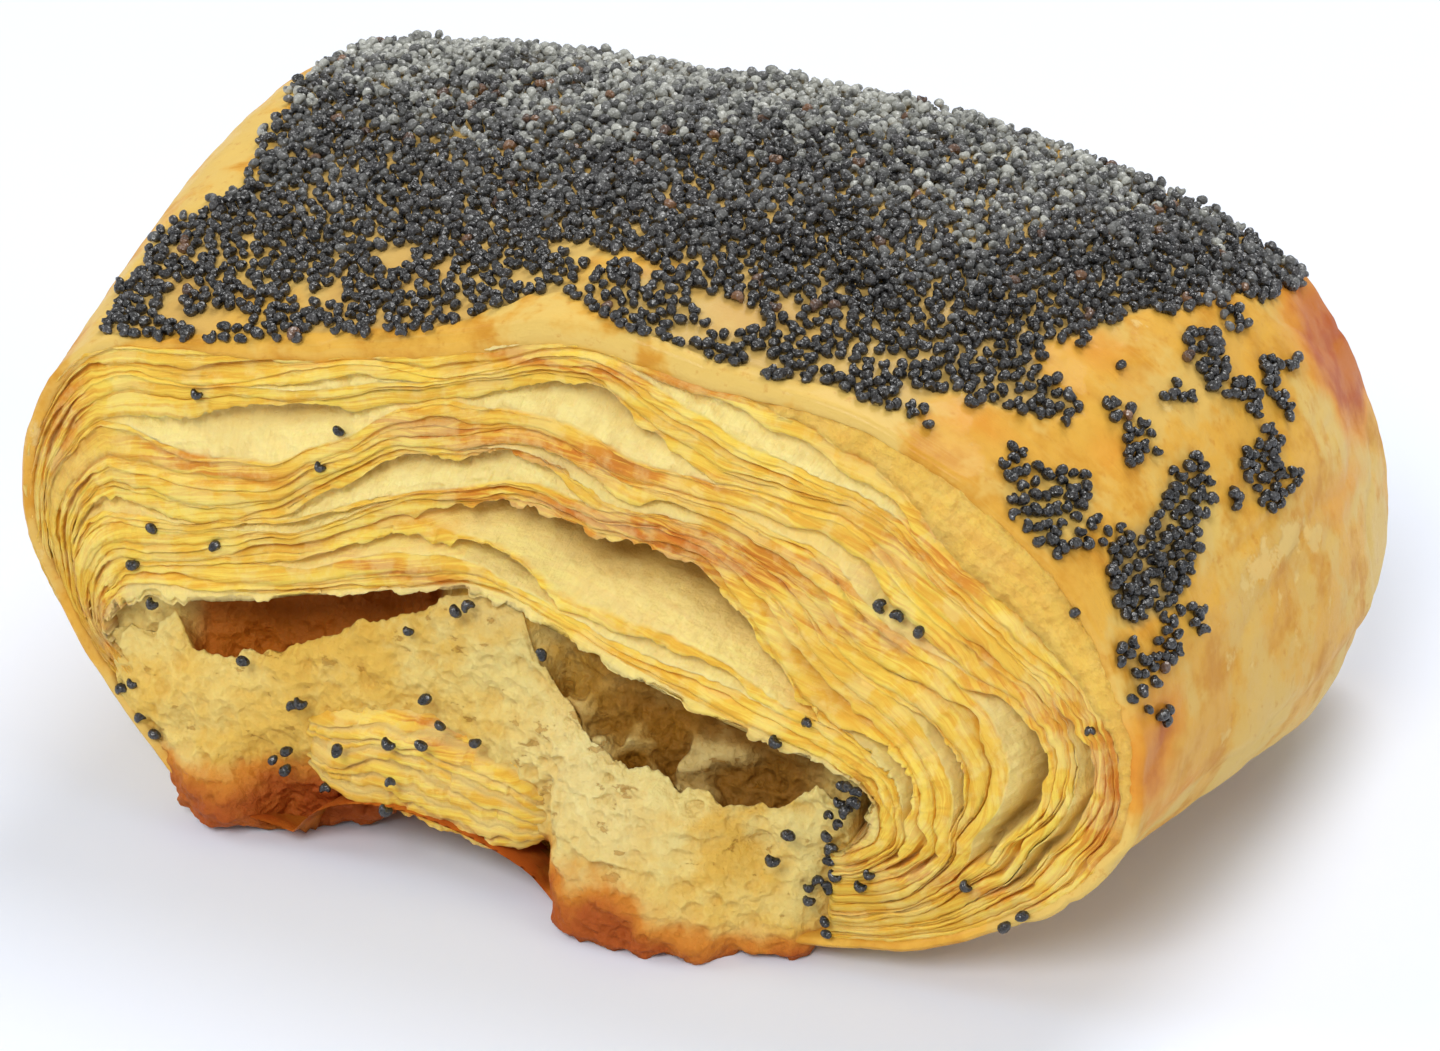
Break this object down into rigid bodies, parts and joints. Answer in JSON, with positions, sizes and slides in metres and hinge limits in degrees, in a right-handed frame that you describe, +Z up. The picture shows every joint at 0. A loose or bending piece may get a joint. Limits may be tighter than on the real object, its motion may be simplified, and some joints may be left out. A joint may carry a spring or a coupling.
{
  "type": "poppy seed danish pastry",
  "caption": "Folded laminated pastry with a seed-covered glazed top, cut ends that show their layers and a torn crumb hanging at the front.",
  "frame": {"origin": "middle of the pastry's box, on the surface it rests on", "axes": "+Z up, -Y towards the cut end that shows the torn crumb, +X towards the folded edge"},
  "size_m": [0.0998, 0.069, 0.0496],
  "materials": {
    "crust": "egg-glazed baked dough, golden with browner patches",
    "cut_face": "cut edges of thin buttery sheets of dough",
    "crumb": "soft open crumb, browned where it met the baking tray",
    "seeds": "blue-grey poppy seeds with a fine honeycomb skin"
  },
  "bodies": {
    "root": {"pastry": "crust"}
  },
  "joints": []
}
